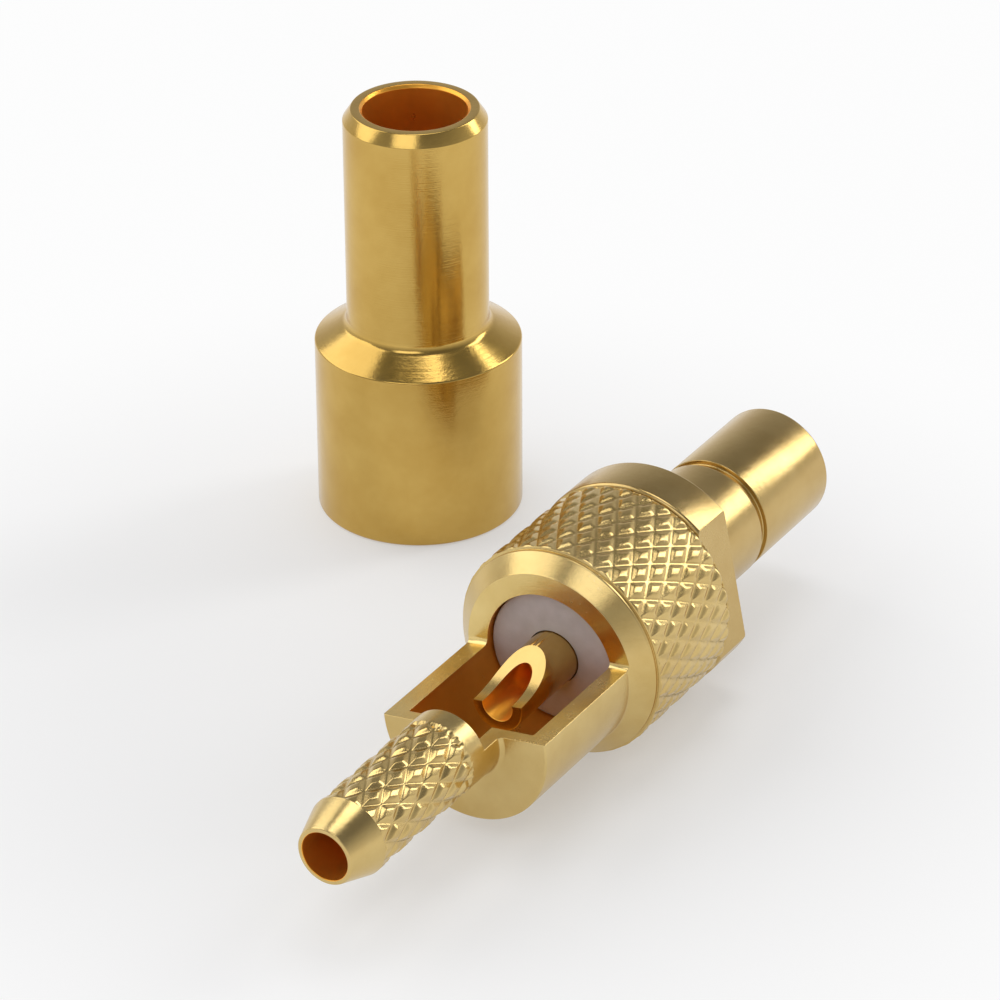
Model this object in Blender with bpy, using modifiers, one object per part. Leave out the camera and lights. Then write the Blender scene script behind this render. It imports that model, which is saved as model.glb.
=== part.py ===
"""Straight crimp jack for thin coaxial cable, with the stepped crimp ferrule that belongs to it.

The jack lies on its knurled collar, front end towards +X, and the ferrule stands beside it on its wide
end, before assembly. All turned pieces are drawn as half sections: a radius and a height along their
own axis. In the jack the heights are measured from the collar's front face, positive towards the mating
end. All lengths are in metres.
"""

import math

import bmesh
import bpy
from mathutils import Matrix, Vector

# Round pieces
FACETS = 48
CONTACT_FACETS = 24
FILLET_STEPS = 2
EDGE_BREAK = 0.00004

# Clearances between nested pieces
FIT_CLEARANCE = 0.00002
SEAT_CLEARANCE = 0.00002

# Boss with the soldering window, and its cavity
CAVITY_RADIUS = 0.00140
BOSS_WALL = 0.00041
BOSS_RADIUS = CAVITY_RADIUS + BOSS_WALL
BOSS_LENGTH = 0.00302
REAR_WALL = 0.00027
BOSS_FILLET = 0.00010

# Sloping shoulder in front of the boss, and the knurled collar
SHOULDER_STEP = 0.00036
SHOULDER_RADIUS = BOSS_RADIUS + SHOULDER_STEP
SHOULDER_LAND = 0.00008
SHOULDER_LENGTH = 0.00042
SHOULDER_FOOT = 0.00015
COLLAR_STEP = 0.00007
COLLAR_RADIUS = SHOULDER_RADIUS + COLLAR_STEP
COLLAR_LENGTH = 0.00268
COLLAR_EDGE = 0.00005

# Diamond knurl of the collar: its starts cross every half pitch
KNURL_STARTS = 32
KNURL_ROWS = 7
KNURL_DEPTH = 0.00006
KNURL_PITCH = COLLAR_LENGTH / KNURL_ROWS

# Crimp stem
STEM_BORE_RADIUS = 0.00049
STEM_BORE_EDGE = 0.00002
STEM_WALL = 0.00033
STEM_RADIUS = STEM_BORE_RADIUS + STEM_WALL
STEM_ROOT_LENGTH = 0.00053
STEM_LENGTH = 0.00409
NOSE_LENGTH = 0.00074
NOSE_STEP = 0.00024

# Soldering window, milled across the boss and the root of the stem
WINDOW_FLOOR = 0.00011
WINDOW_INTO_SHOULDER = 0.00002
WINDOW_CORNER = 0.00012

# Front shell
RIM_OVERHANG = 0.00001
RIM_RADIUS = COLLAR_RADIUS + RIM_OVERHANG
RIM_WIDTH = 0.00031
BELL_SLOPE_DEG = 31.0
BELL_FILLET = 0.00247
MOUTH_RADIUS = 0.00104
MOUTH_DEPTH = 0.00240
MOUTH_CHAMFER = 0.00006
PLUG_WALL = 0.00021
PLUG_RADIUS = MOUTH_RADIUS + PLUG_WALL
PLUG_LENGTH = 0.00252
PLUG_EDGE = 0.00007
NECK_STEP = 0.00001
NECK_RADIUS = PLUG_RADIUS + NECK_STEP
GROOVE_DEPTH = 0.00010
GROOVE_WIDTH = 0.00012
GROOVE_HEIGHT = 0.00309
NECK_BORE_RADIUS = 0.00085
SPIGOT_LENGTH = 0.00118

# Insulator
INSULATOR_REAR = 0.00293

# Centre contact
CUP_RADIUS = 0.00054
CUP_BORE_RADIUS = 0.00033
CUP_REACH = 0.00202
CUP_BORE_DEPTH = 0.00165
CUP_CUT_HEIGHT = 0.00004
CUP_CUTTER_RADIUS = 0.00235
CUP_RUN_OUT_DEG = 38.0
CUP_CUT_STEPS = 8
PIN_RADIUS = 0.00025
PIN_EDGE = 0.00022
PIN_RECESS = 0.00080

# Crimp ferrule
FERRULE_LENGTH = 0.00910
FERRULE_BOSS_CLEARANCE = 0.00009
FERRULE_WIDE_BORE_RADIUS = BOSS_RADIUS + FERRULE_BOSS_CLEARANCE
FERRULE_WIDE_WALL = 0.000275
FERRULE_WIDE_RADIUS = FERRULE_WIDE_BORE_RADIUS + FERRULE_WIDE_WALL
FERRULE_WIDE_DEPTH = 0.00345
BRAID_ROOM = 0.00026
FERRULE_TUBE_BORE_RADIUS = STEM_RADIUS + BRAID_ROOM
FERRULE_TUBE_WALL = 0.00041
FERRULE_TUBE_RADIUS = FERRULE_TUBE_BORE_RADIUS + FERRULE_TUBE_WALL
FERRULE_SHOULDER_HEIGHT = 0.00386
FERRULE_SHOULDER_RISE = 0.00041
FERRULE_SHOULDER_FILLET = 0.00006
FERRULE_CHAMFER_WIDTH = 0.00017
FERRULE_CHAMFER_HEIGHT = 0.00025
FERRULE_LIP = 0.00006
FERRULE_FOOT_EDGE = 0.00008
DRILL_CONE_DEG = 31.0

# Where the pieces lie
JACK_TILT_DEG = 0.9
JACK_ROLL_DEG = 8.0
FERRULE_AHEAD = 0.004233
FERRULE_ASIDE = 0.007738

# Heights that follow from the sizes above
BOSS_FRONT = -COLLAR_LENGTH - SHOULDER_LENGTH
BOSS_REAR = BOSS_FRONT - BOSS_LENGTH
CAVITY_REAR = BOSS_REAR + REAR_WALL
STEM_REAR = BOSS_REAR - STEM_ROOT_LENGTH - STEM_LENGTH
WINDOW_REAR = BOSS_REAR - STEM_ROOT_LENGTH
WINDOW_FRONT = BOSS_FRONT + WINDOW_INTO_SHOULDER
PLUG_REAR = GROOVE_HEIGHT + GROOVE_WIDTH
PLUG_FRONT = PLUG_REAR + PLUG_LENGTH
MOUTH_FLOOR = PLUG_FRONT - MOUTH_DEPTH
CUP_REAR = -INSULATOR_REAR - CUP_REACH


def named_collection(name):
    collection = bpy.data.collections.new(name)
    bpy.context.scene.collection.children.link(collection)
    return collection


def metal_or_plastic(name, colour, roughness, metallic):
    material = bpy.data.materials.new(name)
    material.use_nodes = True
    shader = material.node_tree.nodes["Principled BSDF"]
    shader.inputs["Base Color"].default_value = (*colour, 1.0)
    shader.inputs["Roughness"].default_value = roughness
    shader.inputs["Metallic"].default_value = metallic
    return material


def rounded_outline(corners, steps):
    """Return a closed outline whose corners (x, y, radius) are rounded by an arc of that radius."""
    points = []
    for index, (x, y, radius) in enumerate(corners):
        corner = Vector((x, y))
        if radius == 0.0:
            points.append(corner)
            continue
        before = Vector(corners[index - 1][:2])
        after = Vector(corners[(index + 1) % len(corners)][:2])
        to_before = (before - corner).normalized()
        to_after = (after - corner).normalized()
        half_angle = to_before.angle(to_after) / 2.0
        centre = corner + (to_before + to_after).normalized() * (radius / math.sin(half_angle))
        reach = radius / math.tan(half_angle)
        start = corner + to_before * reach - centre
        swing = start.angle_signed(corner + to_after * reach - centre)
        for step in range(steps + 1):
            turn = Matrix.Rotation(-swing * step / steps, 2)
            points.append(centre + turn @ start)
    return points


def turned(name, corners, facets, material, collection):
    """Turn a half section of (radius, height, fillet) corners about the piece's own Z axis."""
    outline = rounded_outline(corners, FILLET_STEPS)
    mesh = bpy.data.meshes.new(name)
    count = len(outline)
    edges = [(index, (index + 1) % count) for index in range(count)]
    if outline[0].x == 0.0 and outline[-1].x == 0.0:
        edges.pop()
    mesh.from_pydata([(point.x, 0.0, point.y) for point in outline], edges, [])
    piece = bpy.data.objects.new(name, mesh)
    collection.objects.link(piece)
    mesh.materials.append(material)
    screw = piece.modifiers.new("turn", "SCREW")
    screw.steps = facets
    screw.render_steps = facets
    screw.use_merge_vertices = True
    screw.merge_threshold = 0.000001
    screw.use_smooth_shade = False
    return piece


def cross_cutter(name, corners, steps, half_width, collection):
    """Make a cutter from an outline of (height along the axis, height above it, fillet) corners."""
    outline = rounded_outline(corners, steps)
    mesh = bpy.data.meshes.new(name)
    shape = bmesh.new()
    floor = [shape.verts.new((point.y, -half_width, point.x)) for point in outline]
    face = shape.faces.new(floor)
    sweep = bmesh.ops.extrude_face_region(shape, geom=[face])
    moved = [item for item in sweep["geom"] if isinstance(item, bmesh.types.BMVert)]
    bmesh.ops.translate(shape, verts=moved, vec=(0.0, 2.0 * half_width, 0.0))
    bmesh.ops.recalc_face_normals(shape, faces=shape.faces)
    shape.to_mesh(mesh)
    shape.free()
    cutter = bpy.data.objects.new(name, mesh)
    cutter.hide_render = True
    cutter.display_type = "WIRE"
    collection.objects.link(cutter)
    return cutter


def cut(piece, cutter):
    boolean = piece.modifiers.new(cutter.name, "BOOLEAN")
    boolean.operation = "DIFFERENCE"
    boolean.object = cutter


def knurl(piece):
    """Move every other vertex of the collar's inner rows inwards, which leaves rows of diamonds."""
    bpy.context.view_layer.update()
    graph = bpy.context.evaluated_depsgraph_get()
    mesh = bpy.data.meshes.new_from_object(piece.evaluated_get(graph))
    piece.modifiers.clear()
    piece.data = mesh
    shape = bmesh.new()
    shape.from_mesh(mesh)
    column_angle = math.pi / KNURL_STARTS
    rows = []
    for vertex in shape.verts:
        row = round(-vertex.co.z / KNURL_PITCH)
        on_row = abs(vertex.co.z + row * KNURL_PITCH) < FIT_CLEARANCE and 0 < row < KNURL_ROWS
        if on_row and vertex.co.xy.length > SHOULDER_RADIUS:
            rows.append(vertex)
            column = round(math.atan2(vertex.co.y, vertex.co.x) / column_angle)
            if (column + row) % 2 == 0:
                vertex.co.xy *= 1.0 - KNURL_DEPTH / COLLAR_RADIUS
    band = {face for vertex in rows for face in vertex.link_faces}
    bmesh.ops.triangulate(shape, faces=list(band), quad_method="SHORT_EDGE")
    shape.to_mesh(mesh)
    shape.free()


def rear_body_section():
    stem_root = BOSS_REAR - STEM_ROOT_LENGTH
    knurl_rows = [(COLLAR_RADIUS, -row * KNURL_PITCH, 0.0) for row in range(1, KNURL_ROWS)]
    return [
        (COLLAR_RADIUS, 0.0, COLLAR_EDGE),
        *knurl_rows,
        (COLLAR_RADIUS, -COLLAR_LENGTH, COLLAR_EDGE),
        (SHOULDER_RADIUS, -COLLAR_LENGTH, 0.0),
        (SHOULDER_RADIUS, -COLLAR_LENGTH - SHOULDER_LAND, EDGE_BREAK),
        (BOSS_RADIUS, BOSS_FRONT, SHOULDER_FOOT),
        (BOSS_RADIUS, BOSS_REAR, EDGE_BREAK),
        (STEM_RADIUS, BOSS_REAR, BOSS_FILLET),
        (STEM_RADIUS, stem_root, 0.0),
        (STEM_RADIUS, STEM_REAR + NOSE_LENGTH, 0.0),
        (STEM_RADIUS - NOSE_STEP, STEM_REAR, EDGE_BREAK),
        (STEM_BORE_RADIUS, STEM_REAR, STEM_BORE_EDGE),
        (STEM_BORE_RADIUS, CAVITY_REAR, 0.0),
        (CAVITY_RADIUS, CAVITY_REAR, 0.0),
        (CAVITY_RADIUS, 0.0, 0.0),
    ]


def front_shell_section():
    seat = SEAT_CLEARANCE
    spigot_radius = CAVITY_RADIUS - FIT_CLEARANCE
    bell_top = RIM_WIDTH + seat + (RIM_RADIUS - NECK_RADIUS) / math.tan(math.radians(BELL_SLOPE_DEG))
    return [
        (PLUG_RADIUS, PLUG_FRONT, PLUG_EDGE),
        (PLUG_RADIUS, PLUG_REAR, 0.0),
        (PLUG_RADIUS - GROOVE_DEPTH, PLUG_REAR, 0.0),
        (PLUG_RADIUS - GROOVE_DEPTH, GROOVE_HEIGHT, 0.0),
        (NECK_RADIUS, GROOVE_HEIGHT - GROOVE_WIDTH, 0.0),
        (NECK_RADIUS, bell_top, BELL_FILLET),
        (RIM_RADIUS, RIM_WIDTH + seat, EDGE_BREAK),
        (RIM_RADIUS, seat, EDGE_BREAK),
        (spigot_radius, seat, 0.0),
        (spigot_radius, -SPIGOT_LENGTH, EDGE_BREAK),
        (NECK_BORE_RADIUS, -SPIGOT_LENGTH, 0.0),
        (NECK_BORE_RADIUS, MOUTH_FLOOR, 0.0),
        (MOUTH_RADIUS, MOUTH_FLOOR, 0.0),
        (MOUTH_RADIUS, PLUG_FRONT - MOUTH_CHAMFER, 0.0),
        (MOUTH_RADIUS + MOUTH_CHAMFER, PLUG_FRONT, 0.0),
    ]


def insulator_section():
    body_radius = CAVITY_RADIUS - FIT_CLEARANCE
    nose_radius = NECK_BORE_RADIUS - FIT_CLEARANCE
    step = -SPIGOT_LENGTH - SEAT_CLEARANCE
    contact_step = step - FIT_CLEARANCE
    return [
        (nose_radius, MOUTH_FLOOR, 0.0),
        (nose_radius, step, 0.0),
        (body_radius, step, 0.0),
        (body_radius, -INSULATOR_REAR, EDGE_BREAK),
        (CUP_RADIUS + FIT_CLEARANCE, -INSULATOR_REAR, 0.0),
        (CUP_RADIUS + FIT_CLEARANCE, contact_step, 0.0),
        (PIN_RADIUS + FIT_CLEARANCE, contact_step, 0.0),
        (PIN_RADIUS + FIT_CLEARANCE, MOUTH_FLOOR, 0.0),
    ]


def centre_contact_section():
    contact_step = -SPIGOT_LENGTH - SEAT_CLEARANCE - FIT_CLEARANCE - SEAT_CLEARANCE
    pin_tip = PLUG_FRONT - PIN_RECESS
    bore_end = CUP_REAR + CUP_BORE_DEPTH
    drill_point = bore_end + CUP_BORE_RADIUS * math.tan(math.radians(DRILL_CONE_DEG))
    return [
        (0.0, pin_tip, 0.0),
        (PIN_RADIUS, pin_tip, PIN_EDGE),
        (PIN_RADIUS, contact_step, 0.0),
        (CUP_RADIUS, contact_step, 0.0),
        (CUP_RADIUS, CUP_REAR, 0.0),
        (CUP_BORE_RADIUS, CUP_REAR, 0.0),
        (CUP_BORE_RADIUS, bore_end, 0.0),
        (0.0, drill_point, 0.0),
    ]


def crimp_ferrule_section():
    drill_slope = math.tan(math.radians(DRILL_CONE_DEG))
    drill_rise = (FERRULE_WIDE_BORE_RADIUS - FERRULE_TUBE_BORE_RADIUS) * drill_slope
    shoulder_top = FERRULE_SHOULDER_HEIGHT + FERRULE_SHOULDER_RISE
    return [
        (FERRULE_TUBE_RADIUS - FERRULE_CHAMFER_WIDTH, FERRULE_LENGTH, 0.0),
        (FERRULE_TUBE_RADIUS, FERRULE_LENGTH - FERRULE_CHAMFER_HEIGHT, 0.0),
        (FERRULE_TUBE_RADIUS, shoulder_top, FERRULE_SHOULDER_FILLET),
        (FERRULE_WIDE_RADIUS, FERRULE_SHOULDER_HEIGHT, FERRULE_FOOT_EDGE),
        (FERRULE_WIDE_RADIUS, 0.0, FERRULE_FOOT_EDGE),
        (FERRULE_WIDE_BORE_RADIUS + FERRULE_LIP, 0.0, 0.0),
        (FERRULE_WIDE_BORE_RADIUS, FERRULE_LIP, 0.0),
        (FERRULE_WIDE_BORE_RADIUS, FERRULE_WIDE_DEPTH, 0.0),
        (FERRULE_TUBE_BORE_RADIUS, FERRULE_WIDE_DEPTH + drill_rise, 0.0),
        (FERRULE_TUBE_BORE_RADIUS, FERRULE_LENGTH - FERRULE_LIP, 0.0),
        (FERRULE_TUBE_BORE_RADIUS + FERRULE_LIP, FERRULE_LENGTH, 0.0),
    ]


def window_cutter(collection):
    clear = 2.0 * COLLAR_RADIUS
    return cross_cutter("window_cutter", [
        (WINDOW_REAR, WINDOW_FLOOR, 0.0),
        (WINDOW_FRONT, WINDOW_FLOOR, WINDOW_CORNER),
        (WINDOW_FRONT, clear, 0.0),
        (WINDOW_REAR, clear, 0.0),
    ], FILLET_STEPS, clear, collection)


def solder_cup_cutter(collection):
    """Make the disc cutter that opens the cup: level at the cup's rear, then out along its own arc."""
    clear = 2.0 * CUP_RADIUS
    run_out = math.radians(CUP_RUN_OUT_DEG)
    corner = CUP_REAR + CUP_CUTTER_RADIUS * math.tan(run_out / 2.0)
    top = CUP_RADIUS + clear
    return cross_cutter("solder_cup_cutter", [
        (CUP_REAR - clear, CUP_CUT_HEIGHT, 0.0),
        (corner, CUP_CUT_HEIGHT, CUP_CUTTER_RADIUS),
        (corner + (top - CUP_CUT_HEIGHT) / math.tan(run_out), top, 0.0),
        (CUP_REAR - clear, top, 0.0),
    ], CUP_CUT_STEPS, clear, collection)


def world_corners(pieces):
    """Return the lowest and highest world coordinates of the finished pieces."""
    bpy.context.view_layer.update()
    graph = bpy.context.evaluated_depsgraph_get()
    points = []
    for piece in pieces:
        finished = piece.evaluated_get(graph)
        mesh = finished.to_mesh()
        points.extend(finished.matrix_world @ vertex.co for vertex in mesh.vertices)
        finished.to_mesh_clear()
    low = Vector([min(point[axis] for point in points) for axis in range(3)])
    high = Vector([max(point[axis] for point in points) for axis in range(3)])
    return low, high


def jack_frame():
    """Return the turn that lays the jack's own Z axis along +X, tilted and rolled as it rests."""
    tilt = math.radians(JACK_TILT_DEG)
    lay_down = Matrix(((0.0, 0.0, 1.0), (0.0, -1.0, 0.0), (1.0, 0.0, 0.0))).to_4x4()
    roll = Matrix.Rotation(math.radians(-JACK_ROLL_DEG), 4, "X")
    return Matrix.Rotation(-tilt, 4, "Y") @ roll @ lay_down


def main():
    for leftover in list(bpy.data.objects):
        bpy.data.objects.remove(leftover)
    parts = named_collection("coaxial_crimp_jack")
    cutters = named_collection("cutters")
    gold = metal_or_plastic("gold_plating", (0.83, 0.62, 0.28), 0.32, 1.0)
    white = metal_or_plastic("white_ptfe", (0.72, 0.69, 0.70), 0.55, 0.0)

    rear_body = turned("rear_body", rear_body_section(), 2 * KNURL_STARTS, gold, parts)
    knurl(rear_body)
    front_shell = turned("front_shell", front_shell_section(), FACETS, gold, parts)
    insulator = turned("insulator", insulator_section(), FACETS, white, parts)
    contact = turned("centre_contact", centre_contact_section(), CONTACT_FACETS, gold, parts)
    ferrule = turned("crimp_ferrule", crimp_ferrule_section(), FACETS, gold, parts)
    window = window_cutter(cutters)
    cup_cut = solder_cup_cutter(cutters)
    cut(rear_body, window)
    cut(contact, cup_cut)

    jack = bpy.data.objects.new("jack_axis", None)
    parts.objects.link(jack)
    jack.matrix_world = jack_frame()
    jack_pieces = [rear_body, front_shell, insulator, contact]
    for piece in jack_pieces + [window, cup_cut]:
        piece.parent = jack
    ferrule.location = (FERRULE_AHEAD, FERRULE_ASIDE, 0.0)

    low, high = world_corners(jack_pieces)
    jack.location.z -= low.z
    low, high = world_corners(jack_pieces + [ferrule])
    middle = (low + high) / 2.0
    for item in (jack, ferrule):
        item.location.x -= middle.x
        item.location.y -= middle.y
    bpy.context.view_layer.update()


main()
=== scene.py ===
import math

import bmesh
import bpy
import numpy as np
from mathutils import Matrix, Vector


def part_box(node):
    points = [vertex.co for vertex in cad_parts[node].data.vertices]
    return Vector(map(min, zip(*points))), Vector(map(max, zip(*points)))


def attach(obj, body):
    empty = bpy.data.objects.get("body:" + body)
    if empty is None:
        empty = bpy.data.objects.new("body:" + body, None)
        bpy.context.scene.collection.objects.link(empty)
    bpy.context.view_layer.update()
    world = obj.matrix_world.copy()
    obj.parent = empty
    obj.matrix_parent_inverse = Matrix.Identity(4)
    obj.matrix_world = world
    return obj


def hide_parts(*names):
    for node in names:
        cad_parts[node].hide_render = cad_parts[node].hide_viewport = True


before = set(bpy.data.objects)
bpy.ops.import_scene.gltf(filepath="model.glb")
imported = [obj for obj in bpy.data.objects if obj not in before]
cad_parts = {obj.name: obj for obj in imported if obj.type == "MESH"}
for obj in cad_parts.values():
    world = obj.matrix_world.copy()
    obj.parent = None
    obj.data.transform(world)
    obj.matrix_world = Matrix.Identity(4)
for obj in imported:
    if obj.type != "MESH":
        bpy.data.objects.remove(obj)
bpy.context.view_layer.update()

# Crimp ferrule
# The loose stepped sleeve, turned from brass tube and gold plated. Its wide end goes over the jack's boss
# and its narrow end is crimped round the cable's braid. It stands on its wide end.

MM = 0.001

ferrule_low, ferrule_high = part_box("crimp_ferrule")
ferrule_axis = (Vector(ferrule_low) + Vector(ferrule_high)) / 2.0
ferrule_length = ferrule_high[2] - ferrule_low[2]
ferrule_wide_radius = 2.175 * MM
ferrule_wide_bore = 1.90 * MM
ferrule_tube_radius = 1.49 * MM
ferrule_tube_bore = 1.08 * MM
ferrule_shoulder = 3.86 * MM
ferrule_shoulder_top = 4.27 * MM
ferrule_wide_depth = 3.45 * MM
ferrule_bore_step_top = 3.943 * MM
ferrule_chamfer_width = 0.17 * MM
ferrule_chamfer_height = 0.25 * MM
ferrule_bore_chamfer = 0.06 * MM
ferrule_columns = 192
ferrule_colour = (0.60, 0.39, 0.105)
ferrule_roughness = 0.17
ferrule_ring_depth = 0.0011 * MM


def rounded(corners, steps=6):
    """Round the corners of a closed half section or outline.

    Each corner is (radius, height, fillet). Where the fillet isn't nought, the corner gives way to an arc
    of that radius that touches both of its sides. The arc's ends lie fillet / tan(half the corner's angle)
    from the corner.
    """
    points = []
    for index, (radius, height, fillet) in enumerate(corners):
        corner = np.array([radius, height])
        if fillet == 0.0:
            points.append(corner)
            continue
        before = np.array(corners[index - 1][:2]) - corner
        after = np.array(corners[(index + 1) % len(corners)][:2]) - corner
        before = before / np.linalg.norm(before)
        after = after / np.linalg.norm(after)
        half = math.acos(np.clip(before @ after, -1.0, 1.0)) / 2.0
        inward = (before + after) / np.linalg.norm(before + after)
        centre = corner + inward * fillet / math.sin(half)
        start = corner + before * fillet / math.tan(half) - centre
        turn = math.pi - 2.0 * half
        if before[0] * after[1] - before[1] * after[0] > 0.0:
            turn = -turn
        angles = np.linspace(0.0, turn, steps + 1)
        x = start[0] * np.cos(angles) - start[1] * np.sin(angles)
        y = start[0] * np.sin(angles) + start[1] * np.cos(angles)
        points.extend(np.column_stack([x, y]) + centre)
    return np.array(points)


def turned_mesh(name, section, columns, ripple=None):
    """Sweep a half section round the Z axis and return it as a mesh of quads.

    Point (i, j) is (r cos a, r sin a, h), where (r, h) is point i of the section and a is j turns of
    360 / columns degrees. A ripple(a, r, h) is taken off the radius. A section that starts and ends on the
    axis gets one point there at each end, with a fan of triangles.
    """
    angles = np.linspace(0.0, 2.0 * np.pi, columns, endpoint=False)
    open_ended = section[0, 0] == 0.0 and section[-1, 0] == 0.0
    rows = section[1:-1] if open_ended else section
    radius = np.repeat(rows[:, :1], columns, axis=1)
    height = np.repeat(rows[:, 1:], columns, axis=1)
    if ripple is not None:
        radius = radius - ripple(angles[None, :], rows[:, :1], height)
    points = np.stack([radius * np.cos(angles), radius * np.sin(angles), height], axis=-1)
    count = len(rows)
    i = np.arange(count - 1 if open_ended else count)[:, None]
    j = np.arange(columns)[None, :]
    below = (i + 1) % count
    beside = (j + 1) % columns
    corners = [i * columns + j, below * columns + j, below * columns + beside, i * columns + beside]
    faces = np.stack(corners, axis=-1).reshape(-1, 4).tolist()
    vertices = points.reshape(-1, 3)
    if open_ended:
        top = len(vertices)
        vertices = np.vstack([vertices, [[0.0, 0.0, section[0, 1]], [0.0, 0.0, section[-1, 1]]]])
        last = (count - 1) * columns
        ring = np.arange(columns)
        turn = (ring + 1) % columns
        faces += np.column_stack([np.full(columns, top), ring, turn]).tolist()
        faces += np.column_stack([np.full(columns, top + 1), last + turn, last + ring]).tolist()
    mesh = bpy.data.meshes.new(name)
    mesh.from_pydata(vertices.tolist(), [], faces)
    mesh.shade_smooth()
    return mesh


class Shade:
    """A shader socket that takes part in Python sums: numbers by Math nodes, vectors by Vector Math."""

    def __init__(self, tree, socket):
        self.tree = tree
        self.socket = socket

    def node(self, kind, settings=None, output=0, **inputs):
        """Add a node with these settings and inputs and return one of its outputs.

        An input is given by its name with _ for each space, or by _ and its number.
        """
        made = self.tree.nodes.new(kind)
        for key, value in (settings or {}).items():
            setattr(made, key, value)
        for key, value in inputs.items():
            name = key.replace("_", " ").strip()
            socket = made.inputs[int(name)] if name.isdigit() else made.inputs[name]
            if isinstance(value, Shade):
                self.tree.links.new(value.socket, socket)
            else:
                socket.default_value = value
        return Shade(self.tree, made.outputs[output])

    def maths(self, operation, *values):
        inputs = {f"_{index}": value for index, value in enumerate(values)}
        return self.node("ShaderNodeMath", {"operation": operation}, **inputs)

    def vector_maths(self, operation, *values, output=0):
        inputs = {f"_{index}": value for index, value in enumerate(values)}
        return self.node("ShaderNodeVectorMath", {"operation": operation}, output, **inputs)

    def __add__(self, other):
        return self.maths("ADD", self, other)

    def __radd__(self, other):
        return self.maths("ADD", other, self)

    def __sub__(self, other):
        return self.maths("SUBTRACT", self, other)

    def __rsub__(self, other):
        return self.maths("SUBTRACT", other, self)

    def __mul__(self, other):
        return self.maths("MULTIPLY", self, other)

    def __rmul__(self, other):
        return self.maths("MULTIPLY", other, self)


def principled(name, metallic, roughness):
    """Make a material and return it with its shader node and a Shade that starts sums in its tree."""
    material = bpy.data.materials.new(name)
    material.use_nodes = True
    tree = material.node_tree
    shader = tree.nodes["Principled BSDF"]
    shader.inputs["Metallic"].default_value = metallic
    shader.inputs["Roughness"].default_value = roughness
    place = tree.nodes.new("ShaderNodeTexCoord")
    return material, shader, Shade(tree, place.outputs["Object"])


# Painted reflected light: a redder gold for the insides of bores, in place of light bounced many times off
# the gold.
BORE_PAINTED_BOUNCE_GOLD = (0.95, 0.45, 0.06)


def plated_gold(name, axis_point, axis, colour, roughness, ring_depth=0.0006 * MM):
    """Gold plate over a turned surface: fine rings round the axis, faint stains and a soft grain.

    The rings are a one-dimensional noise of the height along the axis plus the distance from it, so they
    run round cylinders and round end faces alike. Depths are real lengths.
    """
    material, shader, place = principled(name, 1.0, roughness)
    offset = place.vector_maths("SUBTRACT", place, tuple(axis_point))
    height = offset.vector_maths("DOT_PRODUCT", offset, tuple(axis), output=1)
    across = offset.vector_maths("CROSS_PRODUCT", offset, tuple(axis))
    distance = across.vector_maths("LENGTH", across, output=1)
    feed = (height + distance) * (1.0 / MM)
    rings = feed.node("ShaderNodeTexNoise", {"noise_dimensions": "1D"}, W=feed, Scale=38.0, Detail=4.0)
    cloud = place.node("ShaderNodeTexNoise", Vector=place, Scale=900.0, Detail=5.0, Roughness=0.6)
    grain = place.node("ShaderNodeTexNoise", Vector=place, Scale=9000.0, Detail=4.0, Roughness=0.65)
    stained = np.array(colour) * (0.91, 0.88, 0.80)
    clean = np.array(colour) * (1.03, 1.05, 1.08)
    tint = cloud.node("ShaderNodeValToRGB", Fac=cloud)
    ramp = tint.socket.node.color_ramp
    ramp.elements[0].position = 0.32
    ramp.elements[0].color = (*stained, 1.0)
    ramp.elements[1].position = 0.68
    ramp.elements[1].color = (*clean, 1.0)
    links = shader.id_data.links
    links.new(tint.socket, shader.inputs["Base Color"])
    rough = roughness * 0.6 + (cloud * 0.45 + grain * 0.35) * roughness
    links.new(rough.socket, shader.inputs["Roughness"])
    relief = rings * ring_depth + grain * (0.0022 * MM)
    bump = relief.node("ShaderNodeBump", Height=relief, Distance=1.0, Strength=1.0)
    links.new(bump.socket, shader.inputs["Normal"])
    return material


def line_inside(mesh, material):
    """Give the faces that look towards the Z axis a material of their own."""
    mesh.materials.append(material)
    count = len(mesh.polygons)
    centre = np.empty(count * 3, np.float32)
    normal = np.empty(count * 3, np.float32)
    mesh.polygons.foreach_get("center", centre)
    mesh.polygons.foreach_get("normal", normal)
    centre = centre.reshape(-1, 3)[:, :2]
    normal = normal.reshape(-1, 3)[:, :2]
    distance = np.linalg.norm(centre, axis=1)
    inward = np.sum(centre * normal, axis=1) < -0.3 * distance
    mesh.polygons.foreach_set("material_index", inward.astype(np.int32))


def bore_gold_with_painted_bounce(name, axis_point, axis):
    """Gold inside a bore, redder as painted reflected light from many bounces off the gold, and half matt.
    """
    material = plated_gold(name, axis_point, axis, BORE_PAINTED_BOUNCE_GOLD, 0.30, 0.0012 * MM)
    shader = material.node_tree.nodes["Principled BSDF"]
    shader.inputs["Metallic"].default_value = 0.84
    return material


def finish_piece(name, mesh, matrix):
    """Place a mesh, mark its sharp edges, weight its normals by area, and stand it for its CAD node."""
    mesh.transform(matrix)
    mesh.set_sharp_from_angle(angle=math.radians(38.0))
    piece = bpy.data.objects.new(name + "_look", mesh)
    bpy.context.scene.collection.objects.link(piece)
    weight = piece.modifiers.new("normals", "WEIGHTED_NORMAL")
    weight.keep_sharp = True
    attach(piece, "root")
    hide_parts(name)


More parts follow.
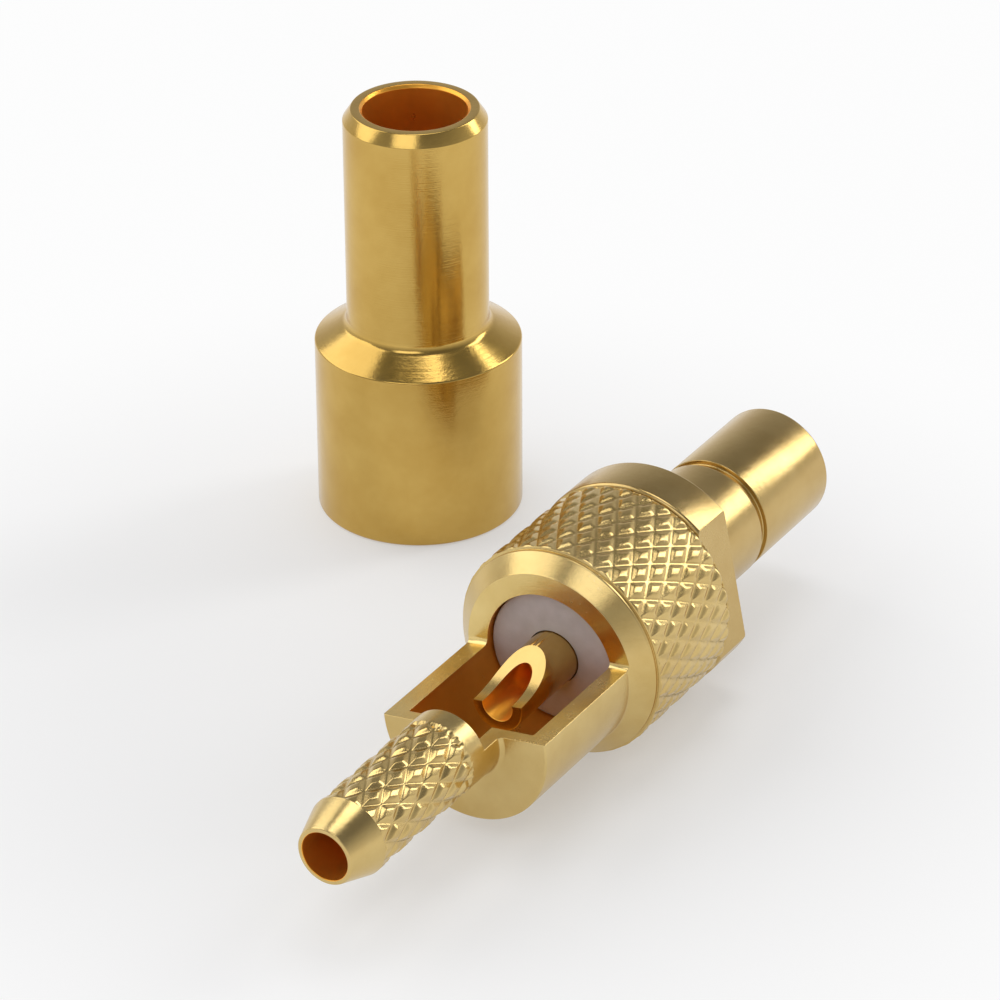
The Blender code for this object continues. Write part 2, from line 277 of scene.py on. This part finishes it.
ferrule_section = rounded([
    (ferrule_tube_radius - ferrule_chamfer_width, ferrule_length, 0.03 * MM),
    (ferrule_tube_radius, ferrule_length - ferrule_chamfer_height, 0.03 * MM),
    (ferrule_tube_radius, ferrule_shoulder_top, 0.22 * MM),
    (ferrule_wide_radius, ferrule_shoulder, 0.06 * MM),
    (ferrule_wide_radius, 0.0, 0.08 * MM),
    (ferrule_wide_bore + ferrule_bore_chamfer, 0.0, 0.02 * MM),
    (ferrule_wide_bore, ferrule_bore_chamfer, 0.02 * MM),
    (ferrule_wide_bore, ferrule_wide_depth, 0.04 * MM),
    (ferrule_tube_bore, ferrule_bore_step_top, 0.04 * MM),
    (ferrule_tube_bore, ferrule_length - ferrule_bore_chamfer, 0.03 * MM),
    (ferrule_tube_bore + ferrule_bore_chamfer, ferrule_length, 0.03 * MM),
])
ferrule_mesh = turned_mesh("crimp_ferrule_look", ferrule_section, ferrule_columns)
ferrule_foot = Vector((ferrule_axis.x, ferrule_axis.y, ferrule_low[2]))
ferrule_up = (0.0, 0.0, 1.0)
ferrule_gold = plated_gold(
    "ferrule_gold_plate", ferrule_foot, ferrule_up, ferrule_colour, ferrule_roughness, ferrule_ring_depth
)
ferrule_mesh.materials.append(ferrule_gold)
line_inside(ferrule_mesh, bore_gold_with_painted_bounce("ferrule_bore_gold", ferrule_foot, ferrule_up))
finish_piece("crimp_ferrule", ferrule_mesh, Matrix.Translation(ferrule_foot))

# Rear body
# One turned brass piece: hollow crimp stem, boss with the soldering window milled across it, sloping
# shoulder, and the collar that is held while crimping. Stem and collar carry a diamond knurl.

jack_tilt = math.radians(0.9)
jack_roll = math.radians(8.0)
collar_radius = 2.24 * MM
collar_length = 2.68 * MM
shoulder_radius = 2.17 * MM
shoulder_land = 0.08 * MM
shoulder_length = 0.42 * MM
boss_radius = 1.81 * MM
boss_length = 3.02 * MM
cavity_radius = 1.40 * MM
rear_wall = 0.27 * MM
stem_radius = 0.82 * MM
stem_root = 0.53 * MM
stem_length = 4.09 * MM
nose_length = 0.74 * MM
nose_tip = 0.58 * MM
stem_bore = 0.49 * MM
window_floor = 0.11 * MM
window_into_shoulder = 0.02 * MM
boss_front = -collar_length - shoulder_length
boss_rear = boss_front - boss_length
stem_rear = boss_rear - stem_root - stem_length
window_rear = boss_rear - stem_root
window_front = boss_front + window_into_shoulder
window_reach = 2.0 * collar_radius
broken_edge = 0.012 * MM
body_colour = (0.67, 0.49, 0.20)
body_roughness = 0.24
milled_colour = (0.84, 0.64, 0.27)
milled_roughness = 0.25

# The jack lies along +X with its window up. Its place follows from the tip of the front cylinder and from
# the rim that it rests on, with sizes that the front shell shares.

plug_radius = 1.25 * MM
plug_front = 5.73 * MM
plug_edge = 0.07 * MM
rim_radius = 2.25 * MM
rim_rear = 0.06 * MM

shell_low, shell_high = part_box("front_shell")
lay_down = Matrix(((0.0, 0.0, 1.0), (0.0, -1.0, 0.0), (1.0, 0.0, 0.0))).to_4x4()
jack_turn = Matrix.Rotation(-jack_tilt, 4, "Y") @ Matrix.Rotation(-jack_roll, 4, "X") @ lay_down
jack_axis = jack_turn.to_3x3() @ Vector((0.0, 0.0, 1.0))
jack_point = Vector((
    shell_high[0] - plug_front * math.cos(jack_tilt) - (plug_radius - plug_edge) * math.sin(jack_tilt),
    (shell_low[1] + shell_high[1]) / 2.0,
    shell_low[2] + rim_radius * math.cos(jack_tilt) - rim_rear * math.sin(jack_tilt),
))
jack_place = Matrix.Translation(jack_point) @ jack_turn

# The knurl: the collar's length takes seven half pitches.

knurl_pitch = collar_length / 3.5
collar_starts = 32
stem_starts = 12
stem_knurl_front = -7.12 * MM
collar_knurl_depth = 0.052 * MM
stem_knurl_depth = 0.06 * MM
knurl_plateau = 0.6
knurl_row = knurl_pitch / 16.0
knurl_margin = 0.02 * MM
stem_skin = 1.3 * stem_bore
knurl_columns = 448


def knurl_drop(angle, height, starts, depth):
    """Depth of a diamond knurl below its tops.

    Two families of helical grooves cross: groove lines lie where starts * angle / 360 degrees plus or minus
    height / pitch is whole. The hill is the smaller distance to a groove of the two families, nought in a
    groove and one midway, and it is cut off at the plateau, which is the flat top.
    """
    turns = starts * angle / (2.0 * np.pi)
    along = height / knurl_pitch
    right = 1.0 - 2.0 * np.abs((turns + along) % 1.0 - 0.5)
    left = 1.0 - 2.0 * np.abs((turns - along) % 1.0 - 0.5)
    hill = np.minimum(np.minimum(right, left) / knurl_plateau, 1.0)
    return depth * (1.0 - hill)


def body_ripple(angle, radius, height):
    """Knurl on the outsides of the collar and of the stem, and nothing elsewhere."""
    in_collar = (height < -knurl_margin) & (height > -collar_length + knurl_margin)
    collar = in_collar & (radius > shoulder_radius)
    stem = (height < stem_knurl_front) & (height > stem_rear + nose_length) & (radius > stem_skin)
    ripple = np.where(collar, knurl_drop(angle, height, collar_starts, collar_knurl_depth), 0.0)
    return np.where(stem, knurl_drop(angle, height, stem_starts, stem_knurl_depth), ripple)


def subdivided(section, first, last, step):
    """Insert points every step along the straight outer stretches between two heights."""
    rows = []
    for index in range(len(section)):
        start = section[index]
        end = section[(index + 1) % len(section)]
        rows.append(start)
        straight = abs(start[0] - end[0]) < 1e-9 and first >= start[1] > end[1] >= last
        if straight:
            count = int(abs(end[1] - start[1]) / step)
            for share in np.arange(1, count) / count:
                rows.append(start + (end - start) * share)
    return np.array(rows)


def prism(name, outline, near, far, material):
    """Sweep an outline of (height, x) points across the axis, from near to far in y.

    The outline runs anticlockwise with height to the right and x up, so that the faces look outwards.
    """
    count = len(outline)
    low = np.column_stack([outline[:, 1], np.full(count, near), outline[:, 0]])
    high = np.column_stack([outline[:, 1], np.full(count, far), outline[:, 0]])
    ring = np.arange(count)
    after = (ring + 1) % count
    sides = np.column_stack([ring, after, after + count, ring + count]).tolist()
    ends = [ring[::-1].tolist(), (ring + count).tolist()]
    mesh = bpy.data.meshes.new(name)
    mesh.from_pydata(np.vstack([low, high]).tolist(), [], sides + ends)
    mesh.materials.append(material)
    cutter = bpy.data.objects.new(name, mesh)
    bpy.context.scene.collection.objects.link(cutter)
    return cutter


def milled(mesh, cutter, edge):
    """Take the cutter out of a mesh, give the cut faces the cutter's material and break their edges.

    The edges to break are those between a cut face and one of another material. Both objects go afterwards.
    """
    blank = bpy.data.objects.new(mesh.name + "_blank", mesh)
    bpy.context.scene.collection.objects.link(blank)
    boolean = blank.modifiers.new("cut", "BOOLEAN")
    boolean.operation = "DIFFERENCE"
    boolean.object = cutter
    boolean.material_mode = "TRANSFER"
    graph = bpy.context.evaluated_depsgraph_get()
    cut_mesh = bpy.data.meshes.new_from_object(blank.evaluated_get(graph))
    cut_index = cut_mesh.materials.find(cutter.data.materials[0].name)
    shape = bmesh.new()
    shape.from_mesh(cut_mesh)
    bmesh.ops.remove_doubles(shape, verts=shape.verts, dist=0.001 * MM)
    rims = []
    for side in shape.edges:
        slots = {face.material_index for face in side.link_faces}
        if cut_index in slots and len(slots) == 2:
            rims.append(side)
    bmesh.ops.bevel(
        shape, geom=rims, offset=edge, segments=1, profile=0.5, affect="EDGES", clamp_overlap=True
    )
    shape.to_mesh(cut_mesh)
    shape.free()
    bpy.data.objects.remove(blank)
    bpy.data.objects.remove(cutter)
    return cut_mesh


body_section = rounded([
    (collar_radius, 0.0, 0.08 * MM),
    (collar_radius, -collar_length, 0.05 * MM),
    (shoulder_radius, -collar_length, 0.01 * MM),
    (shoulder_radius, -collar_length - shoulder_land, 0.04 * MM),
    (boss_radius, boss_front, 0.15 * MM),
    (boss_radius, boss_rear, 0.04 * MM),
    (stem_radius, boss_rear, 0.10 * MM),
    (stem_radius, stem_rear + nose_length, 0.05 * MM),
    (nose_tip, stem_rear, 0.04 * MM),
    (stem_bore, stem_rear, 0.02 * MM),
    (stem_bore, boss_rear + rear_wall, 0.0),
    (cavity_radius, boss_rear + rear_wall, 0.04 * MM),
    (cavity_radius, 0.0, 0.0),
])
body_section = subdivided(body_section, 0.0, -collar_length, knurl_row)
body_section = subdivided(body_section, boss_rear, stem_rear, knurl_row)
body_mesh = turned_mesh("rear_body_look", body_section, knurl_columns, body_ripple)
body_gold = plated_gold("body_gold_plate", jack_point, jack_axis, body_colour, body_roughness)
body_mesh.materials.append(body_gold)
line_inside(body_mesh, bore_gold_with_painted_bounce("body_bore_gold", jack_point, jack_axis))
milled_gold = plated_gold("milled_gold_plate", jack_point, jack_axis, milled_colour, milled_roughness)
window_outline = rounded([
    (window_rear, window_floor, 0.0),
    (window_front, window_floor, 0.12 * MM),
    (window_front, window_reach, 0.0),
    (window_rear, window_reach, 0.0),
])
window = prism("window_cutter", window_outline, -window_reach, window_reach, milled_gold)
body_mesh = milled(body_mesh, window, broken_edge)
finish_piece("rear_body", body_mesh, jack_place)

# Front shell
# The turned front piece, pressed into the collar: a flange with two flats milled on its sides for a
# spanner, the neck, a groove that the mating part catches in, and the front cylinder with its socket.

neck_radius = 1.26 * MM
groove_radius = 1.15 * MM
groove_height = 3.09 * MM
groove_width = 0.12 * MM
mouth_radius = 1.04 * MM
mouth_floor = 3.33 * MM
neck_bore = 0.85 * MM
spigot_length = 1.18 * MM
seat = 0.02 * MM
flange_front = 1.03 * MM
flat_distance = 1.77 * MM
flat_reach = 2.0 * rim_radius
flat_turn = math.radians(-3.0)
mouth_chamfer = 0.06 * MM
shell_columns = 240
shell_colour = (0.58, 0.41, 0.165)
shell_roughness = 0.23
flat_roughness = 0.26

shell_section = rounded([
    (plug_radius, plug_front, plug_edge),
    (plug_radius, groove_height + groove_width, 0.015 * MM),
    (groove_radius, groove_height + groove_width, 0.03 * MM),
    (groove_radius, groove_height, 0.02 * MM),
    (neck_radius, groove_height - groove_width, 0.06 * MM),
    (neck_radius, flange_front, 0.15 * MM),
    (rim_radius, flange_front, 0.05 * MM),
    (rim_radius, seat, 0.08 * MM),
    (cavity_radius - seat, seat, 0.02 * MM),
    (cavity_radius - seat, -spigot_length, 0.04 * MM),
    (neck_bore, -spigot_length, 0.0),
    (neck_bore, mouth_floor, 0.0),
    (mouth_radius, mouth_floor, 0.02 * MM),
    (mouth_radius, plug_front - mouth_chamfer, 0.02 * MM),
    (mouth_radius + mouth_chamfer, plug_front, 0.0),
], steps=8)
shell_mesh = turned_mesh("front_shell_look", shell_section, shell_columns)
shell_gold = plated_gold("shell_gold_plate", jack_point, jack_axis, shell_colour, shell_roughness)
shell_mesh.materials.append(shell_gold)
line_inside(shell_mesh, bore_gold_with_painted_bounce("shell_bore_gold", jack_point, jack_axis))
flat_gold = plated_gold("flat_gold_plate", jack_point, jack_axis, shell_colour, flat_roughness)
flat_outline = np.array([
    (seat / 2.0, -flat_reach),
    (flange_front + seat, -flat_reach),
    (flange_front + seat, flat_reach),
    (seat / 2.0, flat_reach),
])

# The flats stand 3 degrees off the window's upright. The photograph shows only the one on the right.

for side in (1.0, -1.0):
    near, far = sorted((side * flat_distance, side * flat_reach))
    flat_cutter = prism("flat_cutter", flat_outline, near, far, flat_gold)
    flat_cutter.data.transform(Matrix.Rotation(flat_turn, 4, "Z"))
    shell_mesh = milled(shell_mesh, flat_cutter, broken_edge)
finish_piece("front_shell", shell_mesh, jack_place)

# Insulator
# The white fluoropolymer bush, turned and pressed into the bore behind the front shell. Only its rear
# face shows, in the window, and its nose at the bottom of the socket.

insulator_rear = -2.93 * MM
cup_radius = 0.54 * MM
pin_radius = 0.25 * MM
insulator_columns = 128
shaded_white = (0.47, 0.415, 0.40)
clean_white = (0.55, 0.49, 0.48)

insulator_section = rounded([
    (neck_bore - seat, mouth_floor, 0.0),
    (neck_bore - seat, -spigot_length - seat, 0.0),
    (cavity_radius - seat, -spigot_length - seat, 0.02 * MM),
    (cavity_radius - seat, insulator_rear, 0.04 * MM),
    (cup_radius + seat, insulator_rear, 0.0),
    (cup_radius + seat, -spigot_length - 2.0 * seat, 0.0),
    (pin_radius + seat, -spigot_length - 2.0 * seat, 0.0),
    (pin_radius + seat, mouth_floor, 0.0),
])
insulator_mesh = turned_mesh("insulator_look", insulator_section, insulator_columns)
white, white_shader, white_place = principled("white_fluoropolymer", 0.0, 0.5)
white_shader.inputs["Subsurface Weight"].default_value = 0.25
white_shader.inputs["Subsurface Radius"].default_value = (0.4 * MM, 0.3 * MM, 0.3 * MM)
white_shader.inputs["Subsurface Scale"].default_value = 1.0
white_cloud = white_place.node("ShaderNodeTexNoise", Vector=white_place, Scale=3000.0, Detail=4.0)
white_tint = white_cloud.node("ShaderNodeValToRGB", Fac=white_cloud)
white_ramp = white_tint.socket.node.color_ramp
white_ramp.elements[0].position = 0.3
white_ramp.elements[0].color = (*shaded_white, 1.0)
white_ramp.elements[1].position = 0.7
white_ramp.elements[1].color = (*clean_white, 1.0)
white_shader.id_data.links.new(white_tint.socket, white_shader.inputs["Base Color"])
insulator_mesh.materials.append(white)
finish_piece("insulator", insulator_mesh, jack_place)

# Centre contact
# The turned and gold plated pin. Its rear end is bored as a cup and cut open on top, so that the cable's
# core can be soldered into it through the window.

cup_rear = -4.95 * MM
cup_bore = 0.33 * MM
cup_bore_end = -3.30 * MM
cup_cut_height = 0.04 * MM
cup_cutter_radius = 2.35 * MM
cup_run_out = math.radians(38.0)
cup_clear = 2.0 * cup_radius
cup_edge = 0.01 * MM
drill_cone = 0.198 * MM
pin_front = 4.93 * MM
contact_columns = 96
contact_colour = (0.70, 0.48, 0.17)
contact_roughness = 0.2

contact_section = rounded([
    (0.0, pin_front, 0.0),
    (pin_radius, pin_front, 0.22 * MM),
    (pin_radius, -spigot_length - 3.0 * seat, 0.0),
    (cup_radius, -spigot_length - 3.0 * seat, 0.02 * MM),
    (cup_radius, cup_rear, 0.015 * MM),
    (cup_bore, cup_rear, 0.015 * MM),
    (cup_bore, cup_bore_end, 0.0),
    (0.0, cup_bore_end + drill_cone, 0.0),
], steps=8)
contact_mesh = turned_mesh("centre_contact_look", contact_section, contact_columns)
contact_gold = plated_gold("contact_gold_plate", jack_point, jack_axis, contact_colour, contact_roughness)
contact_mesh.materials.append(contact_gold)
line_inside(contact_mesh, bore_gold_with_painted_bounce("contact_bore_gold", jack_point, jack_axis))
cup_top = cup_radius + cup_clear
cup_corner = cup_rear + cup_cutter_radius * math.tan(cup_run_out / 2.0)
cup_outline = rounded([
    (cup_rear - cup_clear, cup_cut_height, 0.0),
    (cup_corner, cup_cut_height, cup_cutter_radius),
    (cup_corner + (cup_top - cup_cut_height) / math.tan(cup_run_out), cup_top, 0.0),
    (cup_rear - cup_clear, cup_top, 0.0),
], steps=24)
cup_cutter = prism("cup_cutter", cup_outline, -cup_clear, cup_clear, contact_gold)
contact_mesh = milled(contact_mesh, cup_cutter, cup_edge)
finish_piece("centre_contact", contact_mesh, jack_place)

# Floor
# A plain pale table top, which isn't part of the connector. As the camera and the gold see it, a painted
# white glow is mixed into it, more so further out, so the floor is painted paler away from the part: the
# background turns white, and near the part its shadow stays.

floor_size = 1.2
floor_colour = (0.90, 0.90, 0.90)
glow_start = 5.0 * MM
glow_end = 18.0 * MM
glow_share_near = 0.35
glow_share_far = 0.9

floor_mesh = bpy.data.meshes.new("floor")
half = floor_size / 2.0
floor_corners = [(-half, -half, 0.0), (half, -half, 0.0), (half, half, 0.0), (-half, half, 0.0)]
floor_mesh.from_pydata(floor_corners, [], [(0, 1, 2, 3)])
floor = bpy.data.objects.new("floor", floor_mesh)
bpy.context.scene.collection.objects.link(floor)
floor_paint, floor_shader, floor_place = principled("pale_floor", 0.0, 0.6)
floor_shader.inputs["Base Color"].default_value = (*floor_colour, 1.0)
floor_tree = floor_shader.id_data
seen = floor_place.node("ShaderNodeLightPath", output="Is Camera Ray")
for ray in ("Is Glossy Ray", "Is Transmission Ray"):
    seen = seen.maths("MAXIMUM", seen, floor_place.node("ShaderNodeLightPath", output=ray))
painted_white_glow = floor_place.node("ShaderNodeEmission", Color=(1.0, 1.0, 1.0, 1.0), Strength=1.0)
lit_floor = Shade(floor_tree, floor_shader.outputs["BSDF"])
# The painted glow's share grows with the distance from the floor's middle, so the floor is painted paler
# away from the part.
distance = floor_place.vector_maths("LENGTH", floor_place, output=1)
painted_glow_share = distance.node(
    "ShaderNodeMapRange",
    {"interpolation_type": "SMOOTHSTEP"},
    Value=distance,
    From_Min=glow_start,
    From_Max=glow_end,
    To_Min=glow_share_near,
    To_Max=glow_share_far,
)
floor_look = floor_place.node("ShaderNodeMixShader", _0=seen * painted_glow_share, _1=lit_floor, _2=painted_white_glow)
floor_tree.links.new(floor_look.socket, floor_tree.nodes["Material Output"].inputs["Surface"])
floor_mesh.materials.append(floor_paint)

# Light
# Soft studio light: a pale surround that darkens overhead, a wide soft box at the left, a narrow one at the
# right, which draws the bright band along the round pieces, and smaller ones overhead and by the camera.

surround_low = (0.85, 0.85, 0.85)
surround_high = (0.20, 0.20, 0.21)
surround_high_from = 0.75
box_distance = 0.25

world = bpy.data.worlds.new("studio")
bpy.context.scene.world = world
world.use_nodes = True
world_tree = world.node_tree
world_place = Shade(world_tree, world_tree.nodes.new("ShaderNodeTexCoord").outputs["Generated"])
world_up = world_place.node("ShaderNodeSeparateXYZ", Vector=world_place, output=2)
world_tint = world_up.node("ShaderNodeValToRGB", Fac=world_up)
world_ramp = world_tint.socket.node.color_ramp
world_ramp.elements[0].position = 0.0
world_ramp.elements[0].color = (*surround_low, 1.0)
world_ramp.elements[1].position = surround_high_from
world_ramp.elements[1].color = (*surround_high, 1.0)
world_tree.links.new(world_tint.socket, world_tree.nodes["Background"].inputs["Color"])


def soft_box(name, azimuth, elevation, width, height, radiance):
    """Hang a soft box on a sphere round the part, facing its middle.

    Azimuth 0 is behind the part as the camera sees it and 90 at its right. The power is the radiance times
    pi times the area, so the radiance is what a mirror would show.
    """
    lamp = bpy.data.lights.new(name, "AREA")
    lamp.shape = "RECTANGLE"
    lamp.size = width
    lamp.size_y = height
    lamp.energy = radiance * math.pi * width * height
    a = math.radians(azimuth)
    e = math.radians(elevation)
    away = camera_ahead * math.cos(a) * math.cos(e) + camera_right * math.sin(a) * math.cos(e)
    away = away + Vector((0.0, 0.0, math.sin(e)))
    box = bpy.data.objects.new(name, lamp)
    box.location = away * box_distance
    box.rotation_mode = "QUATERNION"
    box.rotation_quaternion = away.to_track_quat("Z", "Y")
    box.visible_camera = False
    bpy.context.scene.collection.objects.link(box)


camera_heading = math.radians(-57.63)
camera_ahead = Vector((-math.sin(camera_heading), math.cos(camera_heading), 0.0))
camera_right = Vector((math.cos(camera_heading), math.sin(camera_heading), 0.0))
soft_box("left_box", -70.0, 42.0, 0.26, 0.20, 1.5)
soft_box("right_strip", 64.0, 32.0, 0.06, 0.16, 4.0)
soft_box("top_box", 20.0, 78.0, 0.12, 0.12, 2.6)
soft_box("front_box", 200.0, 50.0, 0.14, 0.10, 1.6)

# Camera
# A long lens at the photograph's angle, looking 29.67 degrees down at a point just right of the ferrule's
# foot, with a slight bank.

camera_pitch = math.radians(29.67)
camera_bank = math.radians(-0.288)
camera_distance = 96.23 * MM
target_aside = 1.693 * MM
target_below = 0.120 * MM
camera_target = ferrule_foot + camera_right * target_aside - Vector((0.0, 0.0, target_below))
camera_forward = camera_ahead * math.cos(camera_pitch) - Vector((0.0, 0.0, math.sin(camera_pitch)))
camera_up = camera_right.cross(camera_forward)
level_turn = Matrix((camera_right, camera_up, -camera_forward)).transposed()
lens = bpy.data.cameras.new("camera")
lens.sensor_width = 36.0
lens.lens = 162.0
lens.clip_start = 1.0 * MM
lens.clip_end = 10.0
camera = bpy.data.objects.new("camera", lens)
camera.rotation_mode = "QUATERNION"
camera.rotation_quaternion = (level_turn @ Matrix.Rotation(camera_bank, 3, "Z")).to_quaternion()
camera.location = camera_target - camera_forward * camera_distance
bpy.context.scene.collection.objects.link(camera)
bpy.context.scene.camera = camera
bpy.context.scene.view_settings.view_transform = "Standard"
